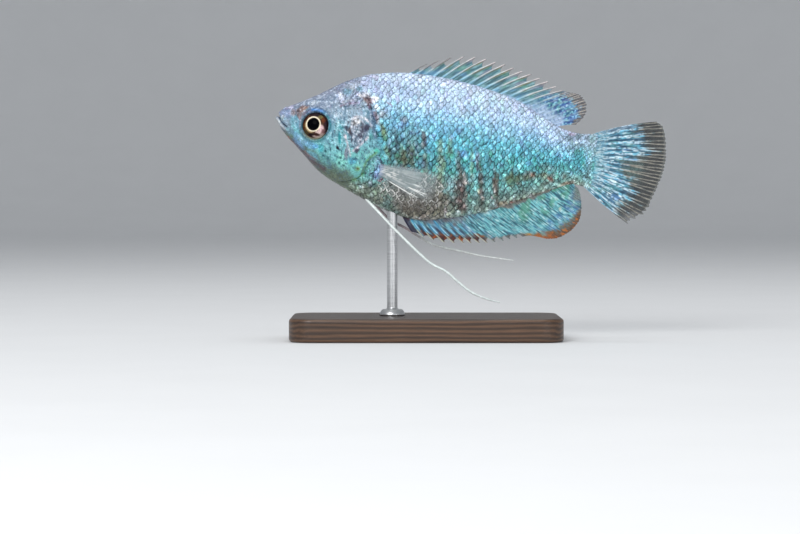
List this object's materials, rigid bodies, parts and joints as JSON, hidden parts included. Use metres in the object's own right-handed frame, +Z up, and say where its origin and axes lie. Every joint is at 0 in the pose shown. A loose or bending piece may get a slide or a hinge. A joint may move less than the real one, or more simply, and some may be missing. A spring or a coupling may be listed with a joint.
{
  "type": "dwarf gourami",
  "caption": "Life-size still model of a small deep-bodied aquarium fish with long fins and thread-like pelvic feelers, held over a flat display base by a rod.",
  "frame": {"origin": "centre of the display base's underside, on the surface it stands on", "axes": "+X from the fish's snout to its tail along the base, -Y the fish's left flank, +Z up"},
  "size_m": [0.0664, 0.027, 0.0482],
  "materials": {
    "scaled_skin": "satin, scaled, pale blue-violet on the back to turquoise on the flank",
    "head_skin": "satin, grey-blue above to turquoise on the cheek",
    "jaw_skin": "satin, pale lavender grey",
    "gill_cover_skin": "satin, turquoise with silvery plate marks",
    "fin_web": "thin rayed web, blue streaks with dark spots and a rusty edge",
    "clear_fin_web": "nearly clear rayed web",
    "feeler_skin": "satin, white",
    "eye": "wet gloss, black pupil in a cream and brown iris",
    "stand_wood": "dark satin walnut",
    "stand_metal": "fine brushed"
  },
  "bodies": {
    "root": {"head": "head_skin", "lower_jaw": "jaw_skin", "gill_cover_left": "gill_cover_skin", "gill_cover_right": "gill_cover_skin", "torso": "scaled_skin", "tail_stalk": "scaled_skin", "dorsal_fin": "fin_web", "anal_fin": "fin_web", "tail_fin": "fin_web", "pectoral_fin_left": "clear_fin_web", "pectoral_fin_right": "clear_fin_web", "pelvic_feeler_left": "feeler_skin", "pelvic_feeler_right": "feeler_skin", "eye_left": "eye", "eye_right": "eye", "stand_base": "stand_wood", "stand_rod": "stand_metal"}
  },
  "joints": []
}
